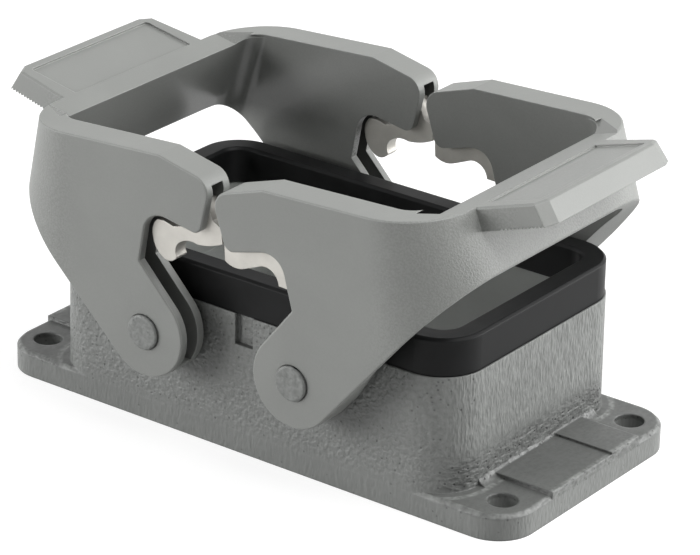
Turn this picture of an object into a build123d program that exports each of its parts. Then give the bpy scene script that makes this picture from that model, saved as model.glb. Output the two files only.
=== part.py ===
"""Heavy duty rectangular connector: bulkhead housing with two locking levers.

All sizes are in millimetres. The origin is the middle of the flange's
underside, +X runs along the long side, +Z points out of the panel. A lever is
drawn with u pointing outwards from its peg and w pointing up from its peg.
"""

from build123d import *
from math import atan2, cos, degrees, hypot, radians, sin, tan
import os

# Flange and its holes
end_overhang = 9.9
flange_width = 42.9
flange_thickness = 3.9
flange_corner = 6.0
hole_edge_x = 4.7
hole_edge_y = 5.45
hole_diameter = 4.4
pad_height = 0.9
pad_from = -10.7
pad_to = 11.2
pad_field_to = 4.3
pad_field_depth = 0.3

# Housing body
body_length = 72.6
body_corner = 7.0
body_height = 21.6
body_draft = 0.15
cavity_wall = 3.7
cavity_corner = 3.6
root_fillet = 1.6
flange_edge_break = 0.5
notch_width = 3.2
notch_height = 4.7
notch_depth = 1.0

# Screw bosses for the contact insert, inside the cavity
insert_edge_x = 4.1
insert_edge_y = 4.25
boss_radius = 3.6
boss_height = 11.5
boss_hole_diameter = 3.3
boss_hole_depth = 9.0

# Rim and the seal that covers it
rim_height = 4.1
rim_wall = 1.5
seal_inset = 0.35
seal_height = 5.7
seal_skirt = 1.05
seal_edge_break = 0.4

# Seal in the underside
groove_offset = 1.1
groove_width = 1.5
groove_depth = 1.3

# Pegs that carry the levers
peg_x = 13.3
peg_z = 17.5
peg_diameter = 5.3
peg_proud = 0.5
peg_edge_break = 0.2
peg_clearance = 0.06

# Levers, seen from the side
lean = 3.1
arm_thickness = 5.0
arm_gap = 1.05
eye_radius = 6.9
lower_angle = 46.57
top_height = 27.4
bend_u = -4.1
bend_rise = 0.3
nose_drop = 15.0
nose_reach = 12.9
nose_bottom = 17.0
nose_lean = 13.0
nose_round = 2.6
nose_foot_round = 1.5
hook_rise = 12.3
hook_u = -1.6
hook_round = 3.3
throat_u = 0.3
throat_w = 10.8
hook_top_share = 0.67
lever_edge_break = 0.2

# Cross wall of the lever; its corners are cones that widen downwards
wall_top_u = 23.23
wall_thickness = 4.4
wall_flare = 21.9
wall_outer_corner = 10.0
wall_outer_growth = 0.30
wall_inner_corner = 3.4
wall_inner_growth = 0.05
lower_face_rise = 1.1
lower_face_start = 2.0
lower_face_corner = 12.0

# Finger tab, measured along its own slope from the cross wall's inner edge
tab_slope = 13.6
tab_drop = 1.15
tab_length = 14.7
tab_thickness = 3.35
tab_root_half = 16.0
tab_side_half = 15.0
tab_tip_half = 12.9
tab_corner_length = 1.0
tab_front_flare = 1.2
tab_side_flare = 0.3
tab_edge_break = 0.3
field_start = 2.5
field_end = 13.3
field_half = 13.2
field_corner = 0.6
field_depth = 0.35
rib_count = 12
rib_pitch = 0.58
rib_depth = 0.28
rib_land = 0.06
rib_end = 1.3

# Slot between the cheeks of an arm, and the steel plate in it
cheek = 1.3
slot_width = 2.4
slot_top = 24.4
slot_back_u = 3.3
slot_back_rise = 4.0
slot_foot_u = -2.2
slot_foot_w = 3.0
slot_floor = -4.3
slot_reach = 20.0
bearing_radius = 4.4
plate_clearance = 0.06
plate_anchor = 22.0

# Outlines of the plates, in the u and w of a lever
claw_hook = [
    (-5.6, 12.2), (-4.4, 11.4), (-2.9, 11.8), (-1.9, 12.9), (-1.4, 14.5), (-1.5, 16.2), (-2.3, 17.3),
]
claw_back = [
    (-2.3, 17.3), (-3.6, 17.3), (-5.2, 16.8), (-6.8, 17.1), (-7.6, plate_anchor),
    (-11.4, plate_anchor), (-12.4, 19.2), (-13.9, 18.3), (-14.0, 16.0),
]
claw_belly = [
    (-14.0, 16.0), (-12.0, 15.3), (-9.4, 15.0), (-7.4, 15.1), (-6.1, 14.5), (-5.4, 13.2), (-5.6, 12.2),
]
wave_seat = [
    (-12.2, 15.1), (-10.6, 14.45), (-8.9, 14.6), (-7.3, 15.15), (-5.8, 15.7), (-4.0, 15.4), (-2.8, 13.4),
]
wave_back = [
    (-2.8, 13.4), (-0.6, 13.2), (-0.2, 16.0), (-1.4, 19.2), (-5.0, plate_anchor),
    (-11.0, plate_anchor), (-12.2, 18.6), (-12.2, 15.1),
]

flange_length = body_length + 2 * end_overhang
hole_pitch_x = flange_length - 2 * hole_edge_x
hole_pitch_y = flange_width - 2 * hole_edge_y
body_width = flange_width
half_width = body_width / 2
cavity_length = body_length - 2 * cavity_wall
cavity_width = body_width - 2 * cavity_wall
insert_pitch_x = cavity_length - 2 * insert_edge_x
insert_pitch_y = cavity_width - 2 * insert_edge_y
arm_inner = half_width + arm_gap
arm_outer = arm_inner + arm_thickness
shoulder_z = body_height
seal_top = shoulder_z + seal_height
slot_out = arm_outer - cheek
slot_in = slot_out - slot_width
sharp_angle = 15.0


def rounded_bar(length, width, corner, low, high):
    """Upright bar with a rounded rectangular outline between two heights."""
    outline = Pos(0, 0, low) * RectangleRounded(length, width, corner)
    return extrude(outline, high - low)


def ring(length, width, corner, wall, low, high):
    """Upright rectangular tube; length and width are its outside."""
    outer = rounded_bar(length, width, corner, low, high)
    inner = rounded_bar(length - 2 * wall, width - 2 * wall, corner - wall, low, high)
    return outer - inner


def flange():
    """Foot plate with a raised pad between the holes at each end."""
    plate = rounded_bar(flange_length, flange_width, flange_corner, 0, flange_thickness)
    top_edges = plate.faces().sort_by(Axis.Z)[-1].edges()
    plate = chamfer(top_edges, flange_edge_break)
    pad_x = (flange_length - end_overhang) / 2
    standing = (Align.CENTER, Align.MIN, Align.MIN)
    hanging = (Align.CENTER, Align.MIN, Align.MAX)
    for side in (-1, 1):
        pad = Box(end_overhang, pad_to - pad_from, pad_height + flange_edge_break, align=standing)
        pad = Pos(side * pad_x, pad_from, flange_thickness - flange_edge_break) * pad
        field = Box(2 * end_overhang, pad_field_to - pad_from, pad_field_depth, align=hanging)
        pad -= Pos(side * pad_x, pad_from, flange_thickness + pad_height) * field
        plate += pad
    return plate


def body_wall():
    """Drafted outer wall of the body, from the panel up to the shoulder."""
    foot = RectangleRounded(body_length, body_width, body_corner)
    return extrude(foot, body_height, taper=degrees(atan2(body_draft, body_height)))


def end_fillets():
    """Concave fillets where the two end walls meet the flange."""
    span = body_width - 2 * body_corner
    corner = Rectangle(root_fillet, root_fillet, align=(Align.MIN, Align.MIN))
    corner -= Pos(root_fillet, root_fillet) * Circle(root_fillet)
    strip = extrude(Plane.XZ * corner, span / 2, both=True)
    strip = Pos(body_length / 2 - body_draft, 0, flange_thickness) * strip
    return strip + mirror(strip, Plane.YZ)


def housing():
    """Die-cast housing in one piece with its flange, rim, bosses and pegs."""
    shell = flange() + body_wall() + end_fillets()
    rim_inset = seal_inset + seal_skirt
    shell += rounded_bar(
        body_length - 2 * rim_inset, body_width - 2 * rim_inset, body_corner - rim_inset,
        boss_height, shoulder_z + rim_height,
    )
    for x in (-peg_x, peg_x):
        reach = arm_outer + peg_proud
        peg = Cylinder(peg_diameter / 2, 2 * reach, rotation=(90, 0, 0))
        peg = chamfer(peg.edges(), peg_edge_break)
        shell += Pos(x, 0, peg_z) * peg
    shell -= rounded_bar(cavity_length, cavity_width, cavity_corner, 0, seal_top)
    lip_inset = rim_inset + rim_wall
    shell -= rounded_bar(
        body_length - 2 * lip_inset, body_width - 2 * lip_inset, body_corner - lip_inset,
        shoulder_z, seal_top,
    )
    shell += insert_bosses()
    for x in (-hole_pitch_x / 2, hole_pitch_x / 2):
        for y in (-hole_pitch_y / 2, hole_pitch_y / 2):
            shell -= Pos(x, y, 0) * Cylinder(hole_diameter / 2, 4 * flange_thickness)
    for side in (-1, 1):
        hanging = (Align.CENTER, Align.CENTER, Align.MAX)
        notch = Box(notch_width, 2 * notch_depth, notch_height, align=hanging)
        shell -= Pos(0, side * half_width, shoulder_z) * notch
    shell -= underside_groove()
    return shell


def insert_bosses():
    """Four screw bosses in the cavity corners, for the contact insert."""
    block = rounded_bar(body_length - cavity_wall, body_width - cavity_wall, body_corner, 0, boss_height)
    standing = (Align.CENTER, Align.CENTER, Align.MIN)
    hanging = (Align.CENTER, Align.CENTER, Align.MAX)
    post = Cylinder(boss_radius, boss_height, align=standing)
    web = Box(2 * boss_radius, 2 * boss_radius, boss_height, align=standing)
    hole = Pos(0, 0, boss_height) * Cylinder(boss_hole_diameter / 2, boss_hole_depth, align=hanging)
    posts = Part()
    for x in (-1, 1):
        for y in (-1, 1):
            corner = post + Pos(x * boss_radius, 0, 0) * web + Pos(0, y * boss_radius, 0) * web - hole
            posts += Pos(x * insert_pitch_x / 2, y * insert_pitch_y / 2, 0) * corner
    return posts & block


def underside_groove():
    """Ring that the underside seal fills."""
    length = cavity_length + 2 * (groove_offset + groove_width)
    width = cavity_width + 2 * (groove_offset + groove_width)
    corner = cavity_corner + groove_offset + groove_width
    return ring(length, width, corner, groove_width, 0, groove_depth)


def rim_seal():
    """Moulded rubber cap over the rim, with a skirt inside and outside."""
    length = body_length - 2 * seal_inset
    width = body_width - 2 * seal_inset
    corner = body_corner - seal_inset
    wall = 2 * seal_skirt + rim_wall
    cap = ring(length, width, corner, wall, shoulder_z, seal_top)
    cap = chamfer(cap.faces().sort_by(Axis.Z)[-1].edges(), seal_edge_break)
    channel = ring(
        length - 2 * seal_skirt, width - 2 * seal_skirt, corner - seal_skirt, rim_wall,
        shoulder_z, shoulder_z + rim_height,
    )
    return cap - channel


def lower_point(distance):
    """Point of the lever's slanted lower edge, at a distance from the eye."""
    a = radians(lower_angle)
    return (eye_radius * sin(a) + distance * cos(a), -eye_radius * cos(a) + distance * sin(a))


def tangent_from(point):
    """Where the line from a point above the eye touches the eye's left side."""
    away = hypot(*point)
    turn = atan2(point[1], point[0]) + radians(90) - atan2(eye_radius, (away**2 - eye_radius**2) ** 0.5)
    return (eye_radius * cos(turn), eye_radius * sin(turn))


def wall_u(height, inset=0.0):
    """u of the flaring cross wall at a height, set in by the wall thickness."""
    return wall_top_u - inset + (top_height - height) * tan(radians(wall_flare))


def lower_reach():
    """Distance along the lower edge from the eye to the cross wall's outer face."""
    a = radians(lower_angle)
    flare = tan(radians(wall_flare))
    run = wall_top_u + (top_height + eye_radius * cos(a)) * flare - eye_radius * sin(a)
    return run / (cos(a) + sin(a) * flare)


def side_profile():
    """Side outline of a lever: arm, nose, hook, eye and cross wall."""
    a = radians(lower_angle)
    foot = lower_point(lower_reach() + wall_thickness)
    bend = (bend_u, top_height + bend_rise)
    fall = tan(radians(nose_drop))
    nose_top = (-nose_reach - 0.4, bend[1] - fall * (bend_u + nose_reach + 0.4))
    nose_foot = (-nose_reach + (nose_top[1] - nose_bottom) * tan(radians(nose_lean)), nose_bottom)
    hook = (hook_u, throat_w + hook_rise * hook_top_share)
    throat = (throat_u, throat_w)
    touch = tangent_from(throat)
    outline = Polyline(
        bend, nose_top, nose_foot, hook, throat, touch, (0, 0), lower_point(0), foot,
        (foot[0], top_height), close=True,
    )
    face = make_face(outline)
    face = round_corner(face, nose_top, nose_round)
    face = round_corner(face, nose_foot, nose_foot_round)
    face = round_corner(face, hook, hook_round)
    return face + Circle(eye_radius)


def round_corner(face, point, radius):
    """Round the corner of an outline that lies at a point."""
    corner = face.vertices().sort_by_distance((point[0], point[1], 0))[0]
    return fillet(corner, radius)


def across(face, low, high):
    """Extrude a u, w outline along Y between two y values."""
    body = extrude(Plane.XZ * face, high - low)
    return Pos(0, high, 0) * body


def both_arms(face, low, high):
    """The same extrusion in the near arm and the far arm."""
    return across(face, low, high) + across(face, -high, -low)


def flared_bar(half, corner, growth, inset):
    """Bar whose end follows the flare of the cross wall, with conical corners.

    A corner's radius is given at the top of the lever and grows downwards. Its
    cone touches the wall and the side; its apex lies on the line where they meet.
    """
    flare = radians(wall_flare)
    low, high = -2 * eye_radius, 2 * top_height
    side = Polyline(
        (-2 * top_height, low), (wall_u(low, inset), low), (wall_u(high, inset), high),
        (-2 * top_height, high), close=True,
    )
    bar = across(make_face(side), -half, half)
    widening = growth * cos(flare)
    apex_w = top_height + corner / growth
    length = (apex_w - low) / cos(flare)
    for out in (-1, 1):
        apex = Vector(wall_u(apex_w, inset), out * half, apex_w)
        into_wall = Vector(-cos(flare), 0, -sin(flare))
        into_side = Vector(0, -out, 0)
        down = Vector(sin(flare), 0, -cos(flare))
        foot = apex + down * length
        far_wall = foot + into_wall * widening * length
        far_side = foot + into_side * widening * length
        far = far_wall + into_side * widening * length
        base = make_face(Polyline(foot, far_wall, far, far_side, close=True))
        wedge = loft([Vertex(*apex), base], ruled=True)
        axis = down + (into_wall + into_side) * widening
        height = axis.length * length
        spread = height * widening / (1 + widening**2) ** 0.5
        cone = Cone(0, spread, height, align=(Align.CENTER, Align.CENTER, Align.MIN))
        bar -= wedge - Plane(origin=apex, z_dir=axis) * cone
    return bar


def lower_relief():
    """What is taken off the lower face, so that its inner edge lies higher than its outer edge."""
    a = radians(lower_angle)
    run = arm_thickness - lever_edge_break
    slack = run / 5
    start = lower_face_start - slack
    end = lower_reach() - lever_edge_break + slack
    below = slack * lower_face_rise / run
    middle = lower_point((start + end) / 2)
    origin = (middle[0] + below * sin(a), 0, middle[1] - below * cos(a))
    face = Plane(origin=origin, x_dir=(cos(a), 0, sin(a)), z_dir=(-sin(a), 0, cos(a)))
    half = arm_outer - lever_edge_break + slack
    outline = RectangleRounded(end - start, 2 * half, lower_face_corner + slack)
    return face * extrude(outline, lower_face_rise + 2 * below, taper=degrees(atan2(run, lower_face_rise)))


def sharp_edges(solid):
    """Edges of a solid where two faces meet at an angle, not along a tangent."""
    sharp = []
    for edge in solid.edges():
        beside = [face for face in solid.faces() if any(edge.is_same(other) for other in face.edges())]
        if len(beside) == 2:
            normals = [face.normal_at(edge.position_at(0.5)) for face in beside]
            if normals[0].get_angle(normals[1]) > sharp_angle:
                sharp.append(edge)
    return sharp


def tab_plane():
    """Plane of the tab's top, with its origin at the cross wall's inner edge."""
    start = (wall_u(top_height, wall_thickness), 0, top_height - tab_drop)
    slope = radians(tab_slope)
    return Plane(origin=start, x_dir=(cos(slope), 0, sin(slope)), z_dir=(-sin(slope), 0, cos(slope)))


def tab_saddle():
    """What is taken off the wall's top so that it runs on into the tab."""
    rise = tab_drop + lever_edge_break
    flat = arm_inner - wall_inner_corner
    section = make_face(Polyline((-flat, 0), (flat, 0), (arm_inner, rise), (-arm_inner, rise), close=True))
    cut = extrude(Plane.YZ * section, wall_thickness + tab_drop, both=True)
    return tab_plane() * cut


def tab_outline(depth):
    """Outline of the tab at a depth under its top, grown by the flare."""
    share = depth / tab_thickness
    tip = tab_length + share * tab_front_flare
    wider = share * tab_side_flare
    side = [
        (wall_thickness / 4, tab_root_half + wider), (wall_thickness, tab_root_half + wider),
        (tip - tab_corner_length, tab_side_half + wider), (tip, tab_tip_half + wider),
    ]
    mirrored = [(x, -y) for x, y in reversed(side)]
    return Pos(0, 0, -depth) * make_face(Polyline(*side, *mirrored, close=True))


def tab():
    """Finger tab that rises outwards, with a sunk field and a ribbed underside."""
    blade = loft([tab_outline(0), tab_outline(tab_thickness)], ruled=True)
    top_edges = blade.faces().sort_by(Axis.Z)[-1].edges()
    blade = chamfer(top_edges, tab_edge_break)
    field = Rectangle(field_end - field_start, 2 * field_half, align=(Align.MIN, Align.CENTER))
    field = fillet(field.vertices(), field_corner)
    blade -= Pos(field_start, 0, -field_depth) * extrude(field, tab_thickness)
    rib_half = rib_pitch / 2 - rib_land
    groove = make_face(Polyline((-rib_half, 0), (0, rib_depth), (rib_half, 0), (0, -rib_depth), close=True))
    bar = extrude(Plane.XZ * groove, 2 * tab_root_half, both=True)
    last = tab_length + tab_front_flare - rib_end
    for i in range(rib_count):
        blade -= Pos(last - i * rib_pitch, 0, -tab_thickness) * bar
    return tab_plane() * blade


def slot_face():
    """Outline of the slot between the cheeks, open towards the nose."""
    face = make_face(Polyline(
        (-slot_reach, slot_floor), (slot_foot_u, slot_floor), (slot_foot_u, slot_foot_w),
        (slot_back_u, throat_w), (slot_back_u, slot_top - slot_back_rise),
        (bend_u, slot_top), (-slot_reach, slot_top), close=True,
    ))
    return face - Circle(bearing_radius)


def lever():
    """One moulded lever, upright, with its peg axis on the Y axis."""
    block = across(side_profile(), -arm_outer, arm_outer)
    block &= flared_bar(arm_outer, wall_outer_corner, wall_outer_growth, 0)
    inner_u = wall_u(top_height, wall_thickness)
    outside = [
        edge for edge in sharp_edges(block)
        if abs(edge.center().Y) > arm_inner or edge.center().X > inner_u
    ]
    block = chamfer(outside, lever_edge_break)
    piece = block - lower_relief() - tab_saddle() + tab()
    piece -= flared_bar(arm_inner, wall_inner_corner, wall_inner_growth, wall_thickness)
    piece -= both_arms(slot_face(), slot_in, slot_out)
    bore = Cylinder(peg_diameter / 2 + peg_clearance, 4 * arm_outer, rotation=(90, 0, 0))
    return piece - bore


def arcs(points):
    """Chain of arcs, each through three of the points in turn."""
    chain = ThreePointArc(*points[:3])
    for i in range(2, len(points) - 2, 2):
        chain += ThreePointArc(*points[i:i + 3])
    return chain


def claw_face():
    """Claw plate of the left lever: a hook that curls round under the nose."""
    return make_face(arcs(claw_hook) + Polyline(*claw_back) + arcs(claw_belly))


def wave_face():
    """Wave plate of the right lever: a rounded seat under the hook."""
    return make_face(arcs(wave_seat) + Polyline(*wave_back))


def plate(face, side):
    """Stamped steel plate in the slot of the near arm (-1) or the far arm (1)."""
    middle = side * (slot_in + slot_out) / 2
    half = slot_width / 2 - plate_clearance
    return across(face, middle - half, middle + half)


def place_right(piece):
    """Set an upright lever piece on the right pegs, leaning inwards."""
    return Pos(peg_x, 0, peg_z) * Rot(0, -lean, 0) * piece


def place_left(piece):
    """Turn an upright lever piece round to the left pegs, leaning outwards."""
    return Rot(0, 0, 180) * Pos(peg_x, 0, peg_z) * Rot(0, lean, 0) * piece


def build():
    """All pieces by node name."""
    moulding = lever()
    return {
        "housing": housing(),
        "rim_seal": rim_seal(),
        "flange_seal": underside_groove(),
        "left_lever": place_left(moulding),
        "right_lever": place_right(moulding),
        "left_near_plate": place_left(plate(claw_face(), 1)),
        "left_far_plate": place_left(plate(claw_face(), -1)),
        "right_near_plate": place_right(plate(wave_face(), -1)),
        "right_far_plate": place_right(plate(wave_face(), 1)),
    }


os.makedirs("parts", exist_ok=True)
for name, piece in build().items():
    export_step(piece, f"parts/{name}.step")
    print(name, len(piece.solids()), round(piece.volume, 1))
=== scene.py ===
"""Looks for the heavy duty rectangular connector: a coated housing with two moulded levers.

Lengths are in metres, in the CAD model's frame. The origin is the middle of the flange's
underside, +X runs along the long side to the right lever, -Y is the near side, +Z is up.
"""

import math

import bmesh
import bpy
from mathutils import Matrix, Vector

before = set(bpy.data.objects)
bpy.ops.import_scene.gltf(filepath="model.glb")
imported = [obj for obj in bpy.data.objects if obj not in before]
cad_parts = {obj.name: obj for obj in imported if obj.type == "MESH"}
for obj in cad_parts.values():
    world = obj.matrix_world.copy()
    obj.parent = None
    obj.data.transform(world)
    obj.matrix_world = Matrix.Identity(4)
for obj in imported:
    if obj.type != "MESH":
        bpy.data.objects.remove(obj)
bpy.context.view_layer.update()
scene = bpy.context.scene
scene.view_settings.view_transform = "Standard"


# Camera. A long lens a little above the right end of the near side, level with the eye of
# someone who looks down at the connector on a table. The photograph was taken from here.
camera_place = (0.2979, -0.4003, 0.2430)
view_azimuth = math.radians(36.41)
view_elevation = math.radians(24.05)
view_roll = math.radians(1.27)
back = Vector((
    math.sin(view_azimuth) * math.cos(view_elevation),
    -math.cos(view_azimuth) * math.cos(view_elevation),
    math.sin(view_elevation),
))
level = Vector((math.cos(view_azimuth), math.sin(view_azimuth), 0))
upright = back.cross(level)
right = level * math.cos(view_roll) + upright * math.sin(view_roll)
up = upright * math.cos(view_roll) - level * math.sin(view_roll)
camera = bpy.data.objects.new("camera", bpy.data.cameras.new("camera"))
camera.data.sensor_width = 36.0
camera.data.lens = 193.25
camera.data.clip_start = 0.05
camera.data.clip_end = 20.0
turn = Matrix((right, up, back)).transposed().to_4x4()
camera.matrix_world = Matrix.Translation(camera_place) @ turn
scene.collection.objects.link(camera)
scene.camera = camera


# Housing. One aluminium die casting with its flange, rim, insert bosses and the four lever
# pegs, under a grey hammered powder coat. The coat is pebbled on the long sides, runs down the
# end walls, and is nearly smooth in the cavity and on the flange's top.
mm = 0.001


def feed(tree, node, inputs):
    """Fill a node's inputs; each is a number, a tuple or another node's output."""
    for name, value in inputs.items():
        if isinstance(value, bpy.types.NodeSocket):
            tree.links.new(value, node.inputs[name])
        else:
            node.inputs[name].default_value = value


def add(tree, kind, inputs=None, **settings):
    """Add a shader node with its settings and its inputs."""
    made = tree.nodes.new("ShaderNode" + kind)
    for name, value in settings.items():
        setattr(made, name, value)
    feed(tree, made, inputs or {})
    return made


def maths(tree, operation, *terms):
    """Add a maths node; a term is a number or another node's output."""
    return add(tree, "Math", dict(enumerate(terms)), operation=operation).outputs[0]


def in_turn(operation):
    """Make a function that joins two or more terms by one operation."""
    def join(tree, first, *others):
        for other in others:
            first = maths(tree, operation, first, other)
        return first
    return join


plus = in_turn("ADD")
less = in_turn("SUBTRACT")
times = in_turn("MULTIPLY")
highest = in_turn("MAXIMUM")


def rest_of(tree, mask):
    """What a mask leaves out."""
    return maths(tree, "SUBTRACT", 1.0, mask)


def ramp(tree, value, low, high, start=0.0, end=1.0):
    """Map a value smoothly from one range to another, held at both ends."""
    return add(tree, "MapRange", {
        "Value": value, "From Min": low, "From Max": high, "To Min": start, "To Max": end,
    }, interpolation_type="SMOOTHSTEP").outputs["Result"]


def between(tree, mask, off, on):
    """Go smoothly from one value where a mask is 0 to another where it is 1."""
    return ramp(tree, mask, 0.0, 1.0, off, on)


def vary(tree, pattern, low, high, reach=0.2):
    """Spread the usual range of a noise, round a half, over another range."""
    return ramp(tree, pattern, 0.5 - reach, 0.5 + reach, low, high)


def vectors(tree, operation, *terms):
    """Add a vector maths node; a term is a tuple or another node's output."""
    return add(tree, "VectorMath", dict(enumerate(terms)), operation=operation).outputs


def split(tree, vector):
    """Split a vector into its X, Y and Z."""
    return add(tree, "SeparateXYZ", {"Vector": vector}).outputs


def size(tree, value):
    """Drop a value's sign."""
    return maths(tree, "ABSOLUTE", value)


def noise(tree, place, per_metre, detail, **more):
    """Add a noise with about so many bumps in a metre."""
    inputs = {"Vector": place, "Scale": per_metre, "Detail": detail}
    return add(tree, "TexNoise", {**inputs, **more}).outputs["Fac"]


def facing(tree, axis):
    """How squarely a face looks along an axis, either way: 1 if it does, 0 if it stands across."""
    return size(tree, split(tree, add(tree, "NewGeometry").outputs["True Normal"])[axis])


def new_group(name, inputs, outputs):
    """Start a node group with named sockets; returns its tree, what goes in and its last node."""
    tree = bpy.data.node_groups.new(name, "ShaderNodeTree")
    for in_out, sockets in (("INPUT", inputs), ("OUTPUT", outputs)):
        for label, kind in sockets.items():
            tree.interface.new_socket(name=label, in_out=in_out, socket_type="NodeSocket" + kind)
    return tree, tree.nodes.new("NodeGroupInput").outputs, tree.nodes.new("NodeGroupOutput")


def new_material(name):
    """Start a material; returns it, its tree, its Principled shader and its object coordinates."""
    made = bpy.data.materials.new(name)
    made.use_nodes = True
    tree = made.node_tree
    shader = tree.nodes["Principled BSDF"]
    return made, tree, shader, add(tree, "TexCoord").outputs["Object"]


# Rounded edges for every hard piece: the normal bends over the edge's real radius, and the
# mask is 1 along the edge line and 0 on the faces.
soft_edges, given, result = new_group(
    "soft_edges", {"Radius": "Float", "Normal": "Vector"}, {"Normal": "Vector", "Edge": "Float"}
)
bent = add(soft_edges, "Bevel", {"Radius": given["Radius"], "Normal": given["Normal"]}, samples=8)
plain = add(soft_edges, "Bevel", {"Radius": given["Radius"]}, samples=8)
flat = add(soft_edges, "NewGeometry").outputs["Normal"]
along = vectors(soft_edges, "DOT_PRODUCT", plain.outputs[0], flat)["Value"]
feed(soft_edges, result, {"Normal": bent.outputs[0], "Edge": ramp(soft_edges, along, 0.995, 0.90)})


def emboss(tree, shader, height, depth, strength, radius):
    """Give a shader a relief of some depth and edges of some radius; returns the edges' mask."""
    bumped = add(tree, "Bump", {"Height": height, "Distance": depth, "Strength": strength})
    soft = add(
        tree, "Group", {"Radius": radius, "Normal": bumped.outputs["Normal"]}, node_tree=soft_edges
    ).outputs
    feed(tree, shader, {"Normal": soft["Normal"]})
    return soft["Edge"]


def tint(tree, shader, colour, tone):
    """Give a shader one colour, made lighter or darker by a tone round 1."""
    tinted = add(tree, "VectorMath", {0: colour, "Scale": tone}, operation="SCALE")
    feed(tree, shader, {"Base Color": tinted.outputs["Vector"]})


# How far a point lies outside a rounded rectangle round the Z axis, which follows the flange's
# and the body's outlines.
outline_distance, given, result = new_group(
    "outline_distance",
    {"Vector": "Vector", "Half": "Vector", "Corner": "Float"}, {"Distance": "Float"},
)
over = vectors(outline_distance, "ABSOLUTE", given["Vector"])[0]
over = split(outline_distance, vectors(outline_distance, "SUBTRACT", over, given["Half"])[0])
squares = []
for axis in ("X", "Y"):
    past = highest(outline_distance, plus(outline_distance, over[axis], given["Corner"]), 0.0)
    squares.append(times(outline_distance, past, past))
beyond = maths(outline_distance, "POWER", plus(outline_distance, *squares), 0.5)
feed(outline_distance, result, {"Distance": less(outline_distance, beyond, given["Corner"])})

# Relief of the hammered coat: soft pebbles under a millimetre apart, runs that hang down a wall,
# ripples that lie across it, and pinholes where the coat pulled back from the metal.
hammered_coat, given, result = new_group(
    "hammered_coat",
    {"Vector": "Vector", "Hanging": "Float", "Rippled": "Float", "Dimples": "Float"},
    {"Height": "Float", "Pits": "Float", "Patches": "Float"},
)
layers = {}
for layer, per_metre, squeeze in (
    ("pebbles", 1500.0, (1.0, 1.0, 1.0)),
    ("runs", 2500.0, (1.0, 1.0, 0.30)),
    ("ripples", 1700.0, (0.9, 0.55, 1.0)),
):
    drawn_out = vectors(hammered_coat, "MULTIPLY", given["Vector"], squeeze)[0]
    layers[layer] = noise(hammered_coat, drawn_out, per_metre, 1.0)
height = layers["pebbles"]
for share, layer in (("Hanging", "runs"), ("Rippled", "ripples")):
    mixed = add(hammered_coat, "Mix", {0: given[share], 2: height, 3: layers[layer]})
    height = mixed.outputs[0]
pinholes_per_metre, pinhole_depth, patches_per_metre = 1250.0, 0.22, 150.0
pin = add(hammered_coat, "TexVoronoi", {"Vector": given["Vector"], "Scale": pinholes_per_metre})
drawn = add(hammered_coat, "SeparateColor", {"Color": pin.outputs["Color"]}).outputs["Red"]
open_pins = ramp(hammered_coat, plus(hammered_coat, drawn, given["Dimples"]), 0.95, 1.0)
hollow = ramp(hammered_coat, pin.outputs["Distance"], 0.30, 0.08)
pits = times(hammered_coat, hollow, open_pins)
feed(hammered_coat, result, {
    "Height": less(hammered_coat, height, times(hammered_coat, pits, pinhole_depth)),
    "Pits": pits,
    "Patches": noise(hammered_coat, given["Vector"], patches_per_metre, 3.0),
})

# Where the coat lies differently. Each mask is 1 on its part of the casting and 0 elsewhere.
coating, tree, shader, place = new_material("hammered_grey_coat")
from_flange, from_body = (
    add(tree, "Group", {
        "Vector": place, "Half": (length / 2, width / 2, 0), "Corner": corner,
    }, node_tree=outline_distance).outputs["Distance"]
    for length, width, corner in ((92.4 * mm, 42.9 * mm, 6 * mm), (72.6 * mm, 42.9 * mm, 7 * mm))
)
axes = split(tree, place)
side_x, side_y, above_table = size(tree, axes["X"]), size(tree, axes["Y"]), axes["Z"]
on_flange = ramp(tree, above_table, 3.0 * mm, 3.4 * mm)
cavity = ramp(tree, from_body, -2.6 * mm, -3.4 * mm)
end_wall = times(tree, ramp(tree, side_x, 32.5 * mm, 35.8 * mm), on_flange)
low_wall = times(tree, ramp(tree, above_table, 10.5 * mm, 6.8 * mm), on_flange)
# Painted shade: the end walls are made darker towards their foot, below about 11 mm.
foot_shade_band = times(tree, end_wall, ramp(tree, above_table, 11.2 * mm, 7.0 * mm))
under_seal = times(tree, ramp(tree, above_table, 15.0 * mm, 19.5 * mm), rest_of(tree, end_wall))
flange_top = times(tree, ramp(tree, facing(tree, "Z"), 0.90, 0.98), on_flange)
flange_rim = times(
    tree, ramp(tree, from_flange, -0.9 * mm, -0.4 * mm), on_flange,
    ramp(tree, from_body, 0.3 * mm, 0.9 * mm),
)
root = times(
    tree, ramp(tree, from_body, 0.9 * mm, 1.3 * mm), ramp(tree, from_body, 2.2 * mm, 1.6 * mm),
    on_flange, ramp(tree, above_table, 4.6 * mm, 4.0 * mm),
)
peg = ramp(tree, side_y, 22.2 * mm, 22.6 * mm)

# The coat itself: its relief fades on the calm faces, and it lies thicker in a lumpy crust along
# the flange's rim and at the body's root, where its colour is lighter: a painted highlight along
# the rim, a lighter tone at the root.
hanging = highest(
    tree, times(tree, end_wall, rest_of(tree, low_wall)),
    ramp(tree, above_table, 6.0 * mm, 2.0 * mm),
)
rippled = times(tree, end_wall, low_wall)
pinholes_all_over, more_pinholes, fewer_in_runs = 0.36, 0.55, 0.25
dimples = plus(
    tree, times(tree, highest(tree, rippled, under_seal), more_pinholes), pinholes_all_over
)
dimples = less(tree, dimples, times(tree, hanging, fewer_in_runs))
coat = add(tree, "Group", {
    "Vector": place, "Hanging": hanging, "Rippled": rippled, "Dimples": dimples,
}, node_tree=hammered_coat).outputs
lumps_per_metre, crust_height = 1000.0, 0.20
lumps = noise(tree, place, lumps_per_metre, 1.0)
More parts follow.
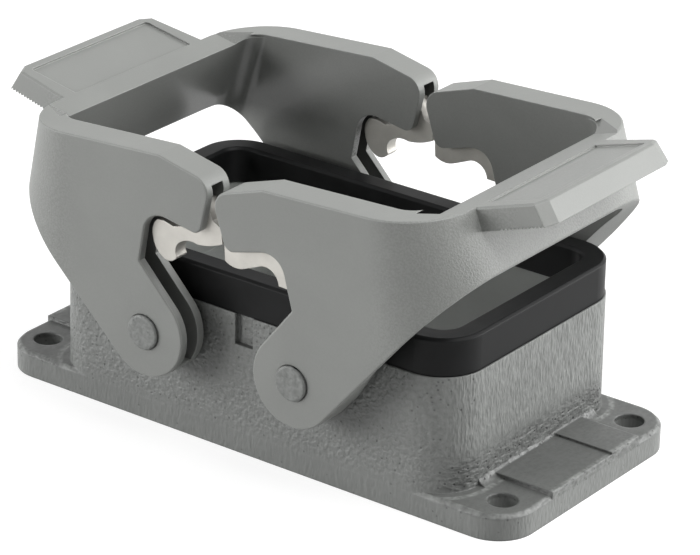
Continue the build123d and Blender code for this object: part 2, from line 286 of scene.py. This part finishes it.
# The lumpy strip along the flange's rim and the body's root. Its colour is made lighter there: a
# painted highlight along the rim, a lighter tone at the root.
crust_and_rim_highlight = times(tree, highest(tree, root, flange_rim), ramp(tree, lumps, 0.15, 0.75))
# Painted shade: the flange's top, away from that strip, is made darker, and its relief calmer.
calm = times(tree, flange_top, rest_of(tree, crust_and_rim_highlight))
calm_flange, calm_peg, low_relief, cavity_relief = 0.88, 0.55, 0.42, 0.10
even = highest(tree, cavity, times(tree, calm, calm_flange), times(tree, peg, calm_peg))
hammered = rest_of(tree, even)
upper = ramp(tree, above_table, 2.5 * mm, 5.5 * mm, low_relief, 1.0)
emboss(
    tree, shader,
    height=plus(tree, coat["Height"], times(tree, less(tree, crust_and_rim_highlight, root), crust_height)),
    depth=0.26 * mm,
    strength=times(tree, upper, between(tree, hammered, cavity_relief, 1.0)),
    radius=0.45 * mm,
)
# Painted light and shade of the relief: the colour is made lighter where the coat's relief is high
# and darker where it is low, more strongly on the end walls, the root and the rim.
coarse = highest(tree, end_wall, root, flange_rim)
mean_height, fine_painted_relief_shade, coarse_painted_relief_shade = 0.49, 0.55, 0.95
grain_shading = times(
    tree, less(tree, coat["Height"], mean_height),
    between(tree, coarse, fine_painted_relief_shade, coarse_painted_relief_shade), hammered, upper,
)
# Painted light: the cavity's inside is made lighter.
rim_highlight_and_lighter_root, painted_cavity_light = 0.40, 0.80
painted_pit_shade, painted_flange_top_shade, painted_foot_shade = 0.36, 0.42, 0.40
painted_peg_side_shade, painted_peg_face_shade = 0.80, 0.20
# Painted shade on the pegs: dark on their sides, slight on their end faces.
painted_peg_shade = ramp(tree, facing(tree, "Y"), 0.3, 0.8, painted_peg_side_shade, painted_peg_face_shade)
tone = plus(
    tree, vary(tree, coat["Patches"], 0.96, 1.04), grain_shading,
    times(tree, crust_and_rim_highlight, rim_highlight_and_lighter_root), times(tree, cavity, painted_cavity_light),
)
tone = less(
    tree, tone,
    # Painted shade in the pinholes.
    times(tree, coat["Pits"], hammered, painted_pit_shade),
    times(tree, peg, painted_peg_shade),
    times(tree, calm, painted_flange_top_shade),
    times(tree, foot_shade_band, rest_of(tree, flange_top), painted_foot_shade),
)
coat_grey = (0.200, 0.207, 0.199)
tint(tree, shader, coat_grey, tone)
feed(tree, shader, {"Roughness": vary(tree, coat["Height"], 0.52, 0.40)})
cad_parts["housing"].material_slots[0].material = coating


# Rim seal and underside seal. Black rubber, moulded in one ring each: the upper one is a cap
# pressed over the housing's rim, the lower one lies in a groove of the flange.
rubber, tree, shader, place = new_material("black_satin_rubber")
bloom = noise(tree, place, 140.0, 4.0, Roughness=0.6)
grain_shading = noise(tree, place, 3200.0, 2.0)
emboss(tree, shader, height=grain_shading, depth=0.01 * mm, strength=0.6, radius=0.3 * mm)
rubber_black = (0.0070, 0.0073, 0.0075)
tint(tree, shader, rubber_black, ramp(tree, bloom, 0.3, 0.75, 0.85, 1.5))
feed(tree, shader, {
    "Roughness": vary(tree, bloom, 0.34, 0.46), "Specular IOR Level": 0.13,
})
for name in ("rim_seal", "flange_seal"):
    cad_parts[name].material_slots[0].material = rubber


# Levers. Each is one moulding in glass-filled grey plastic: two arms with a nose, a hook and
# an eye that snaps over the peg, a cross wall and a finger tab. The cross wall and its corners
# are sandy outside, the arms are finer, and the faces that the core formed are glossier, with
# painted shade on them and in the slots, and a painted highlight along the edges.
plastic, tree, shader, place = new_material("satin_grey_moulding")
sand = noise(tree, place, 3300.0, 2.0, Roughness=0.6)
flow = noise(tree, place, 70.0, 3.0, Distortion=0.8)
axes = split(tree, place)
side_x, side_y = size(tree, axes["X"]), size(tree, axes["Y"])
flattened = (1.0, 1.7, 0.0)
outward = vectors(tree, "NORMALIZE", vectors(tree, "MULTIPLY", place, flattened)[0])[0]
normal = add(tree, "TexCoord").outputs["Normal"]
turned_out = vectors(tree, "DOT_PRODUCT", outward, normal)["Value"]
# Faces turned inwards, which get a glossier finish and painted shade.
core_side = ramp(tree, turned_out, -0.10, -0.45)
# The walls of the slots, which get painted shade.
slot_near, slot_far, blend = 23.65 * mm, 26.35 * mm, 0.10 * mm
in_slot = times(
    tree, ramp(tree, side_y, slot_near, slot_near + blend),
    ramp(tree, side_y, slot_far, slot_far - blend), ramp(tree, facing(tree, "Y"), 0.90, 0.96),
)
cross_wall = times(
    tree, ramp(tree, side_x, 23.5 * mm, 31.0 * mm), ramp(tree, side_x, 42.5 * mm, 40.5 * mm)
)
sandy = times(tree, cross_wall, ramp(tree, turned_out, 0.1, 0.4))
# The edges' mask, along which a painted highlight lightens the colour.
edge = emboss(
    tree, shader, height=sand, depth=0.08 * mm,
    strength=between(tree, sandy, 0.18, 0.85), radius=0.22 * mm,
)
sand_reach = 0.15
speckle = times(
    tree, vary(tree, sand, -1.0, 1.0, sand_reach), between(tree, sandy, 0.015, 0.07)
)
painted_edge_highlight, painted_core_side_shade, painted_slot_shade, glossier_core_side = 0.36, 0.22, 0.35, 0.24
tone = plus(tree, vary(tree, flow, 0.97, 1.03), speckle, times(tree, edge, painted_edge_highlight))
tone = less(
    tree, tone, times(tree, core_side, painted_core_side_shade), times(tree, in_slot, painted_slot_shade)
)
plastic_grey = (0.255, 0.262, 0.250)
tint(tree, shader, plastic_grey, tone)
satin = vary(tree, sand, 0.43, 0.49, sand_reach)
feed(tree, shader, {
    "Roughness": less(tree, satin, times(tree, core_side, glossier_core_side)),
})
for name in ("left_lever", "right_lever"):
    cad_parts[name].material_slots[0].material = plastic


# Claw plates and seat plates. Stamped stainless sheet in the slots of the arms, tumbled to a
# matte finish, with painted shade on the sheared edges. They hold the hood's pegs down.
steel, tree, shader, place = new_material("tumbled_stainless_plate")
tumble = noise(tree, place, 1500.0, 4.0, Roughness=0.65)
cloud = noise(tree, place, 300.0, 2.0)
emboss(tree, shader, height=tumble, depth=0.02 * mm, strength=0.5, radius=0.15 * mm)
# Painted shade: the edge faces, which don't face along Y, are made darker.
painted_edge_shade = ramp(tree, facing(tree, "Y"), 0.4, 0.8, 0.86, 1.0)
plate_white = (0.50, 0.485, 0.45)
tint(tree, shader, plate_white, times(tree, painted_edge_shade, vary(tree, cloud, 0.94, 1.04)))
feed(tree, shader, {"Metallic": 0.6, "Roughness": vary(tree, tumble, 0.42, 0.55)})
for name in ("left_near_plate", "left_far_plate", "right_near_plate", "right_far_plate"):
    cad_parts[name].material_slots[0].material = steel


# Floor and light. A plain white table with no edge in sight, under a white studio sky that is
# dimmer round the camera, one large soft lamp overhead and one at each end of the connector.
def seen_directly(tree):
    """A mask that is 1 for what the camera, gloss or glass shows, and 0 for what gives light."""
    seen = add(tree, "LightPath").outputs
    return highest(tree, seen["Is Camera Ray"], seen["Is Glossy Ray"], seen["Is Transmission Ray"])


table, tree, shader, _ = new_material("white_table")
table_glow = 0.78
feed(tree, shader, {
    "Base Color": (0.36, 0.36, 0.36, 1),
    "Roughness": 0.7,
    "Specular IOR Level": 0.2,
    "Emission Color": (1, 1, 1, 1),
    "Emission Strength": times(tree, seen_directly(tree), table_glow),
})
floor = bpy.data.objects.new("floor", bpy.data.meshes.new("floor"))
shape = bmesh.new()
bmesh.ops.create_circle(shape, cap_ends=True, segments=96, radius=3.0)
shape.to_mesh(floor.data)
shape.free()
floor.data.materials.append(table)
scene.collection.objects.link(floor)

sky = bpy.data.worlds.new("studio_sky")
sky.use_nodes = True
scene.world = sky
tree = sky.node_tree
dim_side = (0.59, -0.81, 0.0)
around = add(tree, "TexCoord").outputs["Generated"]
towards_dim = vectors(tree, "DOT_PRODUCT", around, dim_side)["Value"]
feed(tree, tree.nodes["Background"], {
    "Color": (1, 1, 1, 1),
    "Strength": highest(
        tree, seen_directly(tree), ramp(tree, towards_dim, 0.10, 0.75, 0.50, 0.06)
    ),
})

lamp_aim = Vector((0, 0, 0.02))
for name, place, length, width, watts in (
    ("lamp_overhead", (0.46, 0.16, 0.74), 0.8, 0.7, 6.1),
    ("lamp_right", (0.72, 0.70, 0.24), 0.9, 0.5, 8.0),
    ("lamp_left", (-0.80, -0.76, 0.26), 1.0, 0.6, 10.0),
):
    lamp = bpy.data.objects.new(name, bpy.data.lights.new(name, "AREA"))
    lamp.data.shape = "RECTANGLE"
    lamp.data.size = length
    lamp.data.size_y = width
    lamp.data.energy = watts
    lamp.location = place
    lamp.rotation_euler = (Vector(place) - lamp_aim).to_track_quat("Z", "Y").to_euler()
    scene.collection.objects.link(lamp)
